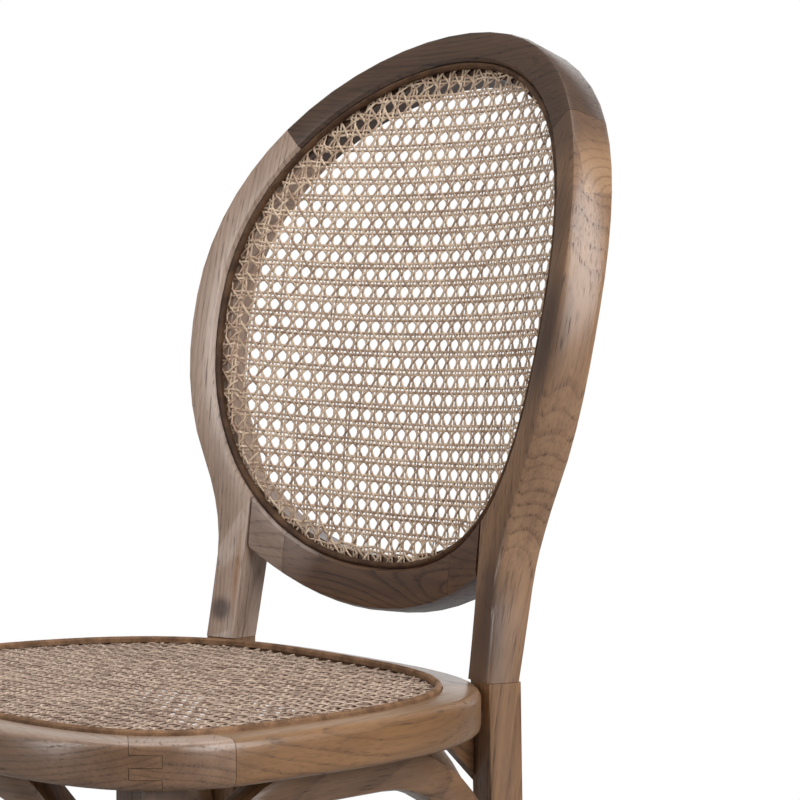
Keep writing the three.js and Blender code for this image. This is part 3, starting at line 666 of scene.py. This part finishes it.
@dataclass
class WovenPanel:
    """Cane webbing: paired uprights, paired rows and single slants both ways."""

    name: str
    node: str
    pale: Colour
    deep: Colour
    pitch: float = 0.0137
    squeeze: float = 0.975
    slant: float = 0.0
    turn: float = 0.0
    start: Span = (0.0, 0.0)
    strand_width: float = 0.002
    pair_gap: float = 0.0014
    thickness: float = 0.00055
    slant_width: float = 0.0023
    reach: int = 16
    wander: float = 0.0002
    edge_wander: float = 0.0007
    edge_width: float = 0.016
    sides: int = 5
    cuts: int = 5

    def build(self) -> None:
        """Weaves the panel, in one piece for each way that strands run."""
        for run in Run:
            piece = self._strands(run)
            self._trim(piece, run)
            self._lay(piece, run)

    def inside(self, across: Array, along: Array, margin: float) -> Array:
        """Tells which points lie inside the edge of the weave, less a margin."""
        raise NotImplementedError

    def place(self, across: Array, along: Array, height: Array) -> Array:
        """Puts points of the flat weave where they are on the chair."""
        raise NotImplementedError

    def lengthwise(self) -> Vector:
        """Gives the chair's direction for along; across is X."""
        raise NotImplementedError

    def _strands(self, run: Run) -> Piece:
        """Makes all the strands of one way, flat, with crossings on a square grid.

        Args:
            run: The way they run.

        Returns:
            One piece with all of them.
        """
        offset = 0.5 * (self.strand_width + self.pair_gap)
        count = 2 * self.reach + 1
        lines, step, length = count, (self.pitch, 0, 0), self.pitch
        if run.straight():
            piece, other = (self._straight(side * offset, offset, side) for side in (-1, 1))
            Bench.hold(piece, other)
            bpy.ops.object.join()
        else:
            piece = self._sloping(-1 if run is Run.RISING else 1)
            lines, length = 2 * count + 1, self.pitch * math.sqrt(2)
        if run is Run.ROWS:
            step = (0, self.pitch, 0)
        Bench.repeat(piece, count, (0, length, 0), merge=True)
        if run.turn():
            Bench.settle(piece, Bench.points(piece) @ np.array(Matrix.Rotation(run.turn(), 3, "Z")).T)
        Bench.repeat(piece, lines, step, merge=False)
        piece.name = f"{self.name}_{run.value}"
        return piece

    def _tube(self, width: float, length: float, cuts: int) -> Piece:
        """Makes one open strand along Y with a crowned top.

        Args:
            width: The strand's width.
            length: The strand's length.
            cuts: How many rings are cut between its ends.

        Returns:
            The strand.
        """
        Bench.clear()
        bpy.ops.mesh.primitive_cylinder_add(
            vertices=self.sides, radius=0.5, depth=1, end_fill_type="NOTHING",
            location=(0, 0, 0), rotation=(math.pi / 2, 0, 0),
        )
        strand = bpy.context.object
        bpy.ops.object.transform_apply(location=True, rotation=True, scale=True)
        size = (width / TUBE_WIDTH, length, self.thickness)
        Bench.alter(strand, bpy.ops.transform.resize, value=size, center_override=(0, 0, 0))
        places = Bench.points(strand)
        ends = np.array([edge.vertices for edge in strand.data.edges])
        lengthwise = np.abs(places[ends[:, 0], 1] - places[ends[:, 1], 1]) > 0.5 * length
        Bench.pick(strand, "EDGE", lengthwise)
        bpy.ops.mesh.subdivide(number_cuts=cuts)
        bpy.ops.object.mode_set(mode="OBJECT")
        return strand

    @staticmethod
    def _shift_rings(strand: Piece, rings: Sequence[tuple[float, float, float]]) -> None:
        """Moves rings of a strand.

        Args:
            strand: The strand.
            rings: For each ring, where it is along Y, where it goes along Y, and its rise.
        """
        places = Bench.points(strand)
        found = [np.abs(places[:, 1] - was) < TOUCHING for was, _, _ in rings]
        for chosen, (was, goes, rise) in zip(found, rings):
            Bench.pick(strand, "VERT", chosen)
            bpy.ops.transform.translate(value=(0, goes - was, rise))
        bpy.ops.object.mode_set(mode="OBJECT")

    def _straight(self, beside: float, crossing: float, sign: int) -> Piece:
        """Makes one pitch of an upright or row, which goes under one strand of a pair and over the other.

        Args:
            beside: How far it is from the middle of its own pair.
            crossing: How far the strands that it crosses are from the middle of theirs.
            sign: 1 to go over the first of them and -1 to go under it.

        Returns:
            The strand.
        """
        strand = self._tube(self.strand_width, self.pitch, self.cuts)
        half, lift = self.pitch / 2, 0.5 * self.thickness
        flat = LEVEL_SHARE * half
        goes = (-half, -flat, -crossing, 0.0, crossing, flat, half)
        rises = (0.0, 0.0, sign * lift, 0.0, -sign * lift, 0.0, 0.0)
        was = [-half + self.pitch / (self.cuts + 1) * index for index in range(self.cuts + 2)]
        self._shift_rings(strand, list(zip(was, goes, rises)))
        Bench.alter(strand, bpy.ops.transform.translate, value=(beside, 0, 0))
        return strand

    def _sloping(self, sign: int) -> Piece:
        """Makes one pitch of a slant, which goes over uprights and under rows, or the other way round.

        Args:
            sign: 1 to start below and -1 to start above.

        Returns:
            The strand.
        """
        length = self.pitch * math.sqrt(2)
        cuts = self.cuts + 2
        strand = self._tube(self.slant_width, length, cuts)
        rings = []
        for index in range(cuts + 2):
            share = index / (cuts + 1)
            wave = math.cos(2 * math.pi * share)
            rise = -sign * self.thickness * math.copysign(abs(wave) ** WAVE_FLATNESS, wave)
            along = length * (share - 0.5)
            rings.append((along, along, rise))
        self._shift_rings(strand, rings)
        return strand

    def _panel(self, flat: Array) -> tuple[Array, Array]:
        """Stretches, leans and turns the square grid as the webbing was stretched.

        Args:
            flat: Points of the square grid, one a row.

        Returns:
            How far across and along each point then is.
        """
        across = flat[:, 0] + self.start[0] * self.pitch
        along = (flat[:, 1] + self.start[1] * self.pitch) * self.squeeze
        across = across - math.tan(self.slant) * along
        cosine, sine = math.cos(self.turn), math.sin(self.turn)
        return across * cosine - along * sine, across * sine + along * cosine

    def _trim(self, piece: Piece, run: Run) -> None:
        """Cuts the strands off at the edge and closes their ends.

        Args:
            piece: The strands.
            run: The way they run.
        """
        places = Bench.points(piece)
        if not run.straight():
            places[:, 0] += 0.5 * self.pitch
            Bench.settle(piece, places)
        kept = self.inside(*self._panel(places), margin=0.0)
        faces = np.array([[*face.vertices][:4] for face in piece.data.polygons])
        Bench.pick(piece, "FACE", ~kept[faces].all(axis=1))
        bpy.ops.mesh.delete(type="FACE")
        bpy.ops.mesh.select_mode(type="VERT")
        bpy.ops.mesh.select_all(action="SELECT")
        bpy.ops.mesh.delete_loose()
        bpy.ops.mesh.select_all(action="DESELECT")
        bpy.ops.mesh.select_non_manifold()
        bpy.ops.mesh.fill_holes(sides=self.sides)
        bpy.ops.mesh.select_all(action="SELECT")
        bpy.ops.mesh.normals_make_consistent(inside=False)
        bpy.ops.object.mode_set(mode="OBJECT")

    def _sway(self, across: Array, along: Array, number: int) -> tuple[Array, Array]:
        """Gives the small wander of real webbing, which grows near the edge.

        Args:
            across: How far across each point is.
            along: How far along each point is.
            number: The number of the way the strands run.

        Returns:
            How far each point strays across and along.
        """
        sway = np.zeros((2, len(across)))
        for wave in range(1, SWAY_WAVES + 1):
            angle = WAVE_TURN * wave + RUN_TURN * number
            way = math.cos(angle) * across + math.sin(angle) * along
            phase = SWAY_RATE * wave * way + WAVE_SHIFT * wave * number
            sway[0] += np.sin(phase) / wave
            sway[1] += np.cos(CROSS_RATE * phase + number) / wave
        edge = 1 - self.inside(across, along, margin=self.edge_width).astype(float)
        sway[0] += edge * np.sin(EDGE_RATE * along + 2 * number)
        sway[1] += edge * np.cos(EDGE_RATE * across + number)
        amount = self.wander + edge * self.edge_wander
        return amount * sway[0], amount * sway[1]

    def _lay(self, piece: Piece, run: Run) -> None:
        """Lays the flat strands on the chair and gives them their finish.

        Args:
            piece: The strands.
            run: The way they run.
        """
        flat = Bench.points(piece)
        across, along = self._panel(flat)
        astray = self._sway(across, along, list(Run).index(run))
        Bench.settle(piece, self.place(across + astray[0], along + astray[1], flat[:, 2]))
        Bench.smooth(piece)
        first, second = Vector((1, 0, 0)), self.lengthwise()
        way = run.direction()
        fibres = way[0] * first + way[1] * second
        beside = way[1] * first - way[0] * second
        finish = CaneFinish(f"cane_{piece.name}", self.pale, self.deep, tuple(fibres), tuple(beside))
        piece.data.materials.clear()
        piece.data.materials.append(finish.material())
        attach(piece, BODY)
        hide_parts(self.node)
        LOG.info("%s: %d faces", piece.name, len(piece.data.polygons))


@dataclass
class BackPanel(WovenPanel):
    """The round panel of the back, bent to the sitter and to the rake of the frame."""

    radius: float = 0.1915
    lower_power: float = 2.33
    rake: float = math.radians(12.8)
    across_radius: float = 0.615
    upright_radius: float = 1.21
    sweep_start: float = -0.15
    sweep_radius: float = 2.0
    middle: Span = (0.16793, 0.7196)

    def inside(self, across: Array, along: Array, margin: float) -> Array:
        """Tells which points lie inside the round opening, less a margin."""
        power = np.where(along < 0, self.lower_power, 2.0)
        return (np.abs(across) ** power + np.abs(along) ** power) ** (1 / power) < self.radius - margin

    def place(self, across: Array, along: Array, height: Array) -> Array:
        """Bends the flat panel to the surface of the back.

        Args:
            across: How far across each point is.
            along: How far up the back each point is.
            height: How far each point stands out of the weave.

        Returns:
            The places on the chair, one a row.
        """
        start, rake = self.sweep_start, self.rake
        upper = rake + np.maximum(along, start) / self.upright_radius
        lower = np.minimum(along - start, 0) / -self.sweep_radius
        lean = upper + lower
        behind = self.upright_radius * (math.cos(rake) - np.cos(upper))
        rise = self.upright_radius * (np.sin(upper) - math.sin(rake))
        low_lean = rake + start / self.upright_radius
        behind = behind - self.sweep_radius * (math.cos(low_lean) - np.cos(low_lean + lower))
        rise = rise - self.sweep_radius * (np.sin(low_lean + lower) - math.sin(low_lean))
        turn = across / self.across_radius
        bow = self.across_radius * (1 - np.cos(turn))
        facing = np.cos(turn)
        normal = [-np.sin(turn) * np.cos(rake - lean), -facing * np.cos(lean), facing * np.sin(lean)]
        normal = np.stack(normal, 1) / np.linalg.norm(normal, axis=0)[:, None]
        surface = [
            self.across_radius * np.sin(turn),
            behind - bow * math.cos(rake) + self.middle[0],
            rise + bow * math.sin(rake) + self.middle[1],
        ]
        return np.stack(surface, 1) + normal * height[:, None]

    def lengthwise(self) -> Vector:
        """Gives the direction up the back."""
        return Vector((0, math.sin(self.rake), math.cos(self.rake)))


@dataclass
class SeatPanel(WovenPanel):
    """The flat panel of the seat, with corners squarer than an oval's."""

    half_width: float = 0.236
    rear_reach: float = 0.256
    front_reach: float = 0.129
    power: float = 3.0
    inset: float = 0.0245
    middle_y: float = -0.12807
    level: float = 0.4627

    def inside(self, across: Array, along: Array, margin: float) -> Array:
        """Tells which points lie inside the seat's opening, less a margin.

        Args:
            across: How far across each point is.
            along: How far back each point is.
            margin: The width of the edge that is left out.

        Returns:
            One truth value for each point.
        """
        inset = self.inset + margin
        behind = along - self.middle_y
        reach = np.where(behind > 0, self.rear_reach, self.front_reach) - inset
        wide = np.abs(across / (self.half_width - inset)) ** self.power
        return wide + np.abs(behind / reach) ** self.power < 1

    def place(self, across: Array, along: Array, height: Array) -> Array:
        """Lays the flat panel at the level of the seat."""
        return np.stack([across, along, self.level + height], 1)

    def lengthwise(self) -> Vector:
        """Gives the direction towards the back."""
        return Vector((0, 1, 0))


# The frame's own solids


@dataclass
class FrameDresser:
    """Gives the frame's solids their finishes and smooth shading."""

    crease: float = math.radians(32)
    weld: float = 1e-6

    def dress(self, node: str, finish: Finish) -> None:
        """Gives one solid its finish.

        Args:
            node: The solid's name.
            finish: The finish it gets.
        """
        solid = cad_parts[node]
        self.soften(solid)
        if not solid.data.materials:
            solid.data.materials.append(None)
        for slot in solid.material_slots:
            slot.material = finish.material()
        LOG.info("%s: %s", node, finish.name)

    def soften(self, solid: Piece) -> None:
        """Shades a solid smoothly between its creases.

        Args:
            solid: The solid.
        """
        Bench.smooth(solid)
        weld = solid.modifiers.new("weld", "WELD")
        weld.merge_threshold = self.weld
        split = solid.modifiers.new("creases", "EDGE_SPLIT")
        split.split_angle = self.crease
        split.use_edge_sharp = False


@dataclass
class Woodwork(FrameDresser):
    """The boards of the chair, how each was cut and stained, and where highlights and shade are painted into
    their colours.
    """

    plain: ClassVar[Tones] = (tone(130, 96, 67), tone(88, 62, 42))
    # Darker tones, partly painted shade: they go on the lower rail, the right wing and the front legs, which
    # face away from the light or stand under the seat.
    dark: ClassVar[Tones] = (tone(112, 81, 59), tone(70, 48, 34))
    leg: ClassVar[Tones] = (tone(152, 113, 78), tone(103, 73, 48))
    pale: ClassVar[Tones] = (tone(138, 104, 78), tone(96, 70, 50))
    warm: ClassVar[Tones] = (tone(140, 101, 64), tone(98, 67, 39))
    beech: ClassVar[Tones] = (tone(222, 190, 150), tone(188, 150, 110))
    # Painted highlight: a pale greyish band along the top edge of the seat rails, standing in for the sheen
    # on the rounded rim.
    painted_rim_highlight: ClassVar[StainOrPaintedLight] = StainOrPaintedLight((0, -0.13, 0.467), (1.2, 1.2, 0.0055), tone(184, 162, 146), 0.7)

    back: ClassVar[dict[str, Finish]] = {
        "crest_rail": WoodFinish(
            "wood_crest", tone(94, 68, 50), tone(58, 41, 30),
            Board((1, 0.05, 0.03), (0.01, 0.04), 0.3, (0, 0.25, 0.88)), 0.0042,
        ),
        # The left post's pale, greyish tones are partly its wood and partly painted sheen: its front face is
        # turned to the light.
        "back_post_left": WoodFinish(
            "wood_left_post", tone(188, 162, 144), tone(146, 121, 104),
            Board((-0.05, 0.2, 1), (0.075, 0.03), 0.8, (-0.2, 0.17, 0.65)), 0.0036,
            pore_strength=0.6,
            stains_and_painted_light=(
                StainOrPaintedLight((-0.152, 0.107, 0.487), (0.013, 0.02, 0.012), tone(72, 56, 54), 0.8),
                StainOrPaintedLight((-0.141, 0.107, 0.52), (0.004, 0.02, 0.05), tone(152, 104, 52), 0.75),
            ),
        ),
        "back_post_right": WoodFinish(
            "wood_right_post", tone(158, 122, 90), tone(108, 78, 56),
            Board((0.03, 0.22, 1), (0.062, 0.006), 0.1, (0.215, 0.17, 0.7)), 0.0042,
            ring_strength=0.26, pore_strength=0.7, wander=0.024,
            stains_and_painted_light=(
                StainOrPaintedLight((0.2, 0.155, 0.62), (0.03, 0.004, 0.16), tone(170, 124, 78), 0.4),
                # These two make the post darker at its top and at its foot.
                StainOrPaintedLight((0.19, 0.17, 0.86), (0.09, 0.09, 0.05), tone(92, 68, 52), 0.9),
                StainOrPaintedLight((0.2, 0.08, 0.485), (0.08, 0.08, 0.075), tone(98, 70, 46), 0.85),
                # Painted shade: dark bands down the front face of the right post, which is turned away from
                # the light.
                StainOrPaintedLight((0.175, 0.138, 0.82), (0.06, 0.022, 0.08), tone(78, 57, 43), 0.9),
                StainOrPaintedLight((0.18, 0.116, 0.72), (0.06, 0.022, 0.08), tone(72, 52, 40), 0.9),
                StainOrPaintedLight((0.175, 0.094, 0.62), (0.06, 0.019, 0.08), tone(72, 52, 40), 0.9),
                StainOrPaintedLight((0.155, 0.105, 0.535), (0.06, 0.013, 0.1), tone(78, 52, 34), 0.85),
            ),
            end_grain=EndGrain((0.1, 0.157, 0.8005), 0.852, (0.0, 0.18, 0.794)),
        ),
        # The lower rail takes the darker tones, partly painted shade.
        "lower_rail": WoodFinish(
            "wood_lower_rail", *dark,
            Board((1, 0.02, -0.12), (0.012, 0.012), 0.55, (0.03, 0.12, 0.52)), 0.0036,
            ring_strength=0.6,
            # Painted sheen: a paler greyish patch on the left part of the rail, which is turned to the
            # light.
            stains_and_painted_light=(StainOrPaintedLight((-0.085, 0.1, 0.54), (0.035, 0.05, 0.05), tone(158, 136, 124), 0.6),),
        ),
        # The left wing's pale, greyish tones are partly painted sheen, as on the left post.
        "lower_rail_wing_left": WoodFinish(
            "wood_left_wing", tone(172, 148, 132), tone(128, 104, 90),
            Board((1, 0, -0.2), (0.04, 0.05), 0.2, (-0.12, 0.12, 0.55)), 0.005,
        ),
        # The right wing takes the darker tones, partly painted shade.
        "lower_rail_wing_right": WoodFinish(
            "wood_right_wing", *dark,
            Board((1, 0, 0.2), (0.03, 0.03), 0.9, (0.12, 0.12, 0.55)), 0.004,
        ),
    }

    # The seat rails carry the painted highlight along the top edge of the rim.
    seat: ClassVar[dict[str, Finish]] = {
        "seat_front_rail": WoodFinish(
            "wood_seat_front", *pale, Board((1, 0, 0), (0.05, 0.03), 0.1), 0.004, stains_and_painted_light=(painted_rim_highlight,)
        ),
        "seat_rear_rail": WoodFinish("wood_seat_rear", *pale, Board((1, 0.02, 0), (0.06, 0.04), 0.7), 0.005),
        "seat_side_rail_left": WoodFinish(
            "wood_seat_left", *pale, Board((0.1, 1, 0), (0.05, 0.2), 0.4), 0.005, stains_and_painted_light=(painted_rim_highlight,)
        ),
        "seat_side_rail_right": WoodFinish(
            "wood_seat_right", *warm, Board((-0.2, 1, 0), (0.05, 0.21), 0.6), 0.006,
            ring_strength=0.3,
            stains_and_painted_light=(
                # A weaker painted highlight along the top edge of this rail.
                replace(painted_rim_highlight, colour=tone(160, 130, 102), strength=0.5),
                # Darker towards the bottom edge of the rail.
                StainOrPaintedLight((0.22, 0.06, 0.44), (0.09, 0.12, 0.04), tone(110, 78, 48), 0.55),
            ),
        ),
        "seat_corner_block_left": WoodFinish(
            "wood_block_left", *pale, Board((1, 0.9, 0), (0.04, 0.1), 0.2), 0.005, stains_and_painted_light=(painted_rim_highlight,)
        ),
        "seat_corner_block_right": WoodFinish(
            "wood_block_right", *pale, Board((1, -0.9, 0), (0.03, 0.1), 0.8), 0.005,
            ring_strength=0.35, stains_and_painted_light=(painted_rim_highlight,),
        ),
    }

    def build(self) -> None:
        """Dresses every board."""
        for name, finish in (self.back | self.seat | self._base()).items():
            self.dress(name, finish)

    def _base(self) -> dict[str, Finish]:
        """Gives the finishes of the legs, arches, braces and dowels.

        Returns:
            The finishes by the names of the solids.
        """
        rows = [
            ("front_arch", self.plain, Board((1, 0, 0.03), (0.35, 0.05), 0.15), 0.005),
            ("rear_arch", self.plain, Board((1, 0, 0.03), (0.35, 0.05), 0.85), 0.005),
        ]
        for index, side in enumerate(("left", "right")):
            front = Board((0, 0, 1), (0.03 + 0.02 * index, 0.21), 0.2 + index)
            rear = Board((0.05, 0.12, 1), (0.25 + 0.03 * index, 0.02), 0.5 + index)
            arch = Board((0, 1, 0.02), (0.3, 0.3 + 0.05 * index), 0.3 + index)
            brace = Board((1, 1 - 2 * index, 0), (0.05, 0.4), 0.1 + index)
            rows += [
                # The front legs take the darker tones, partly painted shade under the seat.
                (f"front_leg_{side}", self.dark, front, 0.0045),
                (f"rear_leg_{side}", self.leg, rear, 0.0045),
                (f"side_arch_{side}", self.plain, arch, 0.005),
                (f"rear_brace_{side}", self.plain, brace, 0.005),
            ]
        made = {name: WoodFinish(f"wood_{name}", *tones, board, ring) for name, tones, board, ring in rows}
        dowel = WoodFinish("wood_beech_dowel", *self.beech, Board(pith=(0.03, 0.01)), 0.003)
        return made | {name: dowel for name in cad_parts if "dowel" in name}


@dataclass
class Fittings(FrameDresser):
    """The splines, screws, bolts and glides."""

    def build(self) -> None:
        """Dresses every fitting."""
        back_reed = MottledFinish(
            "stained_back", tone(102, 75, 54), tone(66, 46, 33),
            clouds=Pattern((70, 70, 70), detail=3), relief=Pattern((900, 900, 900), weight=0.15),
            edge=(0.3, 0.7), gloss=0.56, depth=0.0001, specks=0.5, specular=0.2,
        )
        seat_reed = replace(back_reed, name="stained_seat", pale=tone(144, 110, 82), deep=tone(98, 72, 52))
        zinc = MottledFinish(
            "steel_zinc", tone(190, 190, 186), tone(146, 146, 140),
            clouds=Pattern((160, 160, 160), detail=3, weight=0.2),
            relief=Pattern((700, 700, 4000), detail=1),
            edge=(0.3, 0.7), gloss=0.34, depth=0.00003, metallic=1.0,
        )
        nylon = MottledFinish(
            "nylon_glide", tone(46, 42, 39), tone(84, 79, 74),
            clouds=Pattern((240, 240, 240), detail=3), relief=Pattern((2200, 2200, 2200)),
            edge=(0.5, 0.75), gloss=0.5, depth=0.00008, strength=0.6, cover=0.5, dulling=0.25,
        )
        finishes = {
            "back_spline": back_reed, "seat_spline": seat_reed, "screw": zinc, "bolt": zinc, "glide": nylon
        }
        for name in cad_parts:
            for word, finish in finishes.items():
                if word in name:
                    self.dress(name, finish)


# The studio


@dataclass
class Studio:
    """The floor, the backdrop, the lamps and the camera."""

    camera_place: Point = (1.53613, -1.11469, 0.73963)
    camera_azimuth: float = math.radians(50.30)
    camera_pitch: float = math.radians(2.50)
    focal_pixels: float = 2694.0
    image_pixels: float = 800.0
    sensor: float = 36.0
    sky: float = 0.2
    backdrop: float = 0.5
    backdrop_edge: Span = (0.8, 0.95)
    floor_size: float = 14.0
    floor_greys: Tones = ((0.8, 0.8, 0.8), (0.84, 0.84, 0.84))
    floor_bounce: Colour = (0.35, 0.35, 0.35)
    floor_edge: Span = (0.8, 1.7)

    def build(self) -> None:
        """Sets the studio up."""
        scene = bpy.context.scene
        scene.view_settings.view_transform = "Standard"
        self._world(scene)
        self._floor()
        self._lamp("key", (2.9, 0.45, 2.2), power=135, size=(2.6, 3.1))
        self._lamp("front", (-1.04, -3.03, 1.75), power=46, size=(0.9, 3.0))
        self._lamp("top", (-0.3, 0.1, 3.2), power=22, size=(2.0, 2.0))
        self._lamp("back", (-1.6, 2.9, 1.6), power=13, size=(3.2, 2.6))
        self._camera(scene)

    def _world(self, scene: bpy.types.Scene) -> None:
        """Makes a room that is white to the camera, bright behind the chair and plainly lit elsewhere.

        Args:
            scene: The scene.
        """
        world = bpy.data.worlds.new("studio")
        scene.world = world
        recipe = Recipe(world)
        away = recipe.wire("ShaderNodeTexCoord", {}, "Generated")
        aim = (-math.sin(self.camera_azimuth), math.cos(self.camera_azimuth), 0.0)
        facing = recipe.wire("ShaderNodeVectorMath", {0: away, 1: aim}, "Value", operation="DOT_PRODUCT")
        level = self.sky + (self.backdrop - self.sky) * facing.rise(*self.backdrop_edge)
        strength = level + recipe.seen() * (1 - level)
        shade = recipe.wire("ShaderNodeBackground", {"Color": WHITE, "Strength": strength})
        recipe.node("ShaderNodeOutputWorld", {0: shade})

    def _floor(self) -> None:
        """Makes a pale floor that keeps the chair's shadow and goes white away from it."""
        Bench.clear()
        bpy.ops.mesh.primitive_grid_add(x_subdivisions=8, y_subdivisions=8, size=self.floor_size)
        floor = bpy.context.object
        floor.name = "studio_floor"
        material = bpy.data.materials.new("studio_floor")
        recipe = Recipe(material)
        place = recipe.place()
        pale = recipe.mix(recipe.noise(place, Pattern((3, 3, 3), detail=3)), *self.floor_greys)
        colour = recipe.mix(recipe.seen(), self.floor_bounce, pale)
        paint = recipe.wire("ShaderNodeBsdfPrincipled", {"Base Color": colour, "Roughness": 0.7})
        glow = recipe.wire("ShaderNodeEmission", {"Color": WHITE, "Strength": 1.0})
        far = recipe.length(place).rise(*self.floor_edge)
        mixed = recipe.wire("ShaderNodeMixShader", {0: far * recipe.seen(), 1: paint, 2: glow})
        recipe.node("ShaderNodeOutputMaterial", {0: mixed})
        floor.data.materials.append(material)

    @staticmethod
    def _lamp(name: str, place: Point, power: float, size: Span, aim: Point = (0, 0, 0.6)) -> None:
        """Adds one soft lamp.

        Args:
            name: The lamp's name.
            place: Where it stands.
            power: Its power in watts.
            size: Its width and its height.
            aim: What it points at.
        """
        data = bpy.data.lights.new(name, "AREA")
        data.shape = "RECTANGLE"
        data.energy = power
        data.size, data.size_y = size
        lamp = bpy.data.objects.new(name, data)
        bpy.context.scene.collection.objects.link(lamp)
        lamp.location = place
        lamp.rotation_euler = (Vector(aim) - Vector(place)).to_track_quat("-Z", "Y").to_euler()

    def _camera(self, scene: bpy.types.Scene) -> None:
        """Puts the camera where the photograph was taken from.

        Args:
            scene: The scene.
        """
        data = bpy.data.cameras.new("camera")
        data.sensor_width = self.sensor
        data.lens = self.focal_pixels / self.image_pixels * self.sensor
        camera = bpy.data.objects.new("camera", data)
        scene.collection.objects.link(camera)
        camera.location = self.camera_place
        camera.rotation_euler = (math.pi / 2 - self.camera_pitch, 0, self.camera_azimuth)
        scene.camera = camera


def main() -> None:
    """Dresses the chair and sets up the studio."""
    logging.basicConfig(level=logging.INFO, format="%(name)s %(message)s")
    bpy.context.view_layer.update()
    Woodwork().build()
    Fittings().build()
    BackPanel(
        "back_cane_woven", "back_cane", tone(240, 214, 186), tone(164, 132, 108),
        slant=math.radians(3.6), turn=math.radians(0.15), start=(0.049, -0.518), squeeze=0.977,
        slant_width=0.0021,
    ).build()
    SeatPanel(
        "seat_cane_woven", "seat_cane", tone(208, 184, 164), tone(128, 103, 88),
        turn=math.radians(1.7), start=(0.0, -9.3), thickness=0.00105, slant_width=0.0028,
        strand_width=0.0024,
    ).build()
    Studio().build()


if __name__ == "__main__":
    main()
